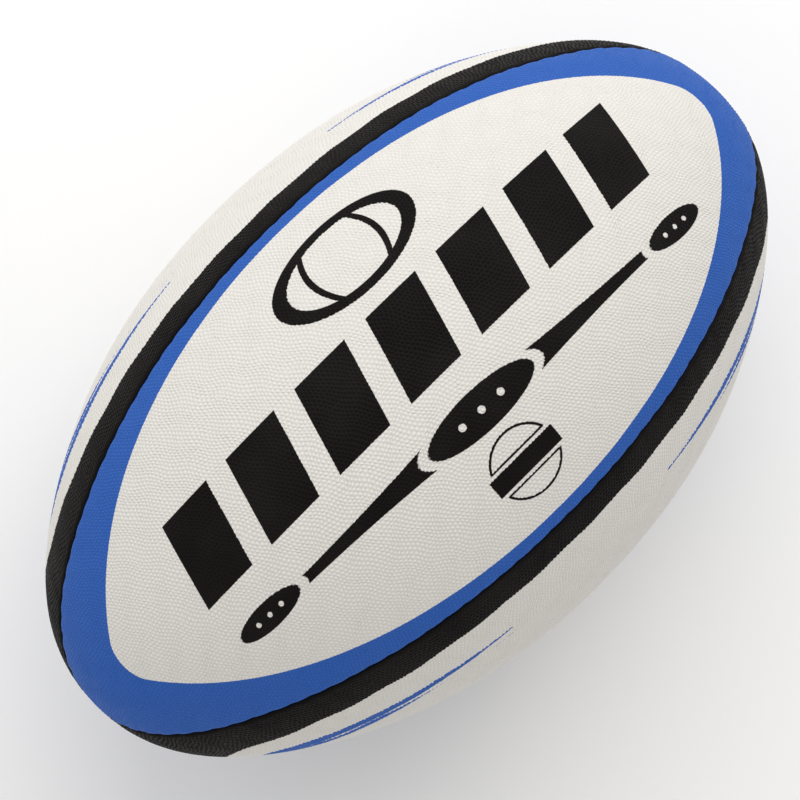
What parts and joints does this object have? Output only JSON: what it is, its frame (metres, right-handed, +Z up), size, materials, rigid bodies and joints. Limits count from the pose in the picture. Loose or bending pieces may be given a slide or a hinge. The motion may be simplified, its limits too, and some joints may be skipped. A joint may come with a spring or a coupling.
{
  "type": "rugby ball",
  "caption": "Oval rugby ball of stitched pimpled rubber panels on a fabric carcass, with an inner bladder and a needle valve in one seam.",
  "frame": {"origin": "centre of the ball, on its long axis halfway between the tips", "axes": "+X along the long axis to one tip, +Z up through the middle of the top panel, +Y through the middle of the left panel; the ball lies on its side"},
  "size_m": [0.2998, 0.1828, 0.1828],
  "materials": {
    "skin_rubber": "moulded rubber covered with fine round pimples, white with printed blue, black bands and marks, low sheen",
    "carcass_fabric": "plain-woven polyester and cotton ply, latex-bonded, matte",
    "waxed_thread": "twisted polyester thread, waxed, slight sheen",
    "bladder_rubber": "thin smooth butyl rubber, satin",
    "valve_rubber": "smooth moulded black rubber, satin",
    "core_rubber": "soft grey rubber, matte",
    "patch_rubber": "thin reddish rubber patch, matte"
  },
  "bodies": {
    "root": {"top_skin": "skin_rubber", "right_skin": "skin_rubber", "bottom_skin": "skin_rubber", "left_skin": "skin_rubber", "top_ply_1": "carcass_fabric", "right_ply_1": "carcass_fabric", "bottom_ply_1": "carcass_fabric", "left_ply_1": "carcass_fabric", "top_ply_2": "carcass_fabric", "right_ply_2": "carcass_fabric", "bottom_ply_2": "carcass_fabric", "left_ply_2": "carcass_fabric", "top_ply_3": "carcass_fabric", "right_ply_3": "carcass_fabric", "bottom_ply_3": "carcass_fabric", "left_ply_3": "carcass_fabric", "top_right_thread": "waxed_thread", "bottom_right_thread": "waxed_thread", "bottom_left_thread": "waxed_thread", "top_left_thread": "waxed_thread", "bladder": "bladder_rubber", "valve_body": "valve_rubber", "valve_core": "core_rubber", "valve_patch": "patch_rubber"}
  },
  "joints": []
}
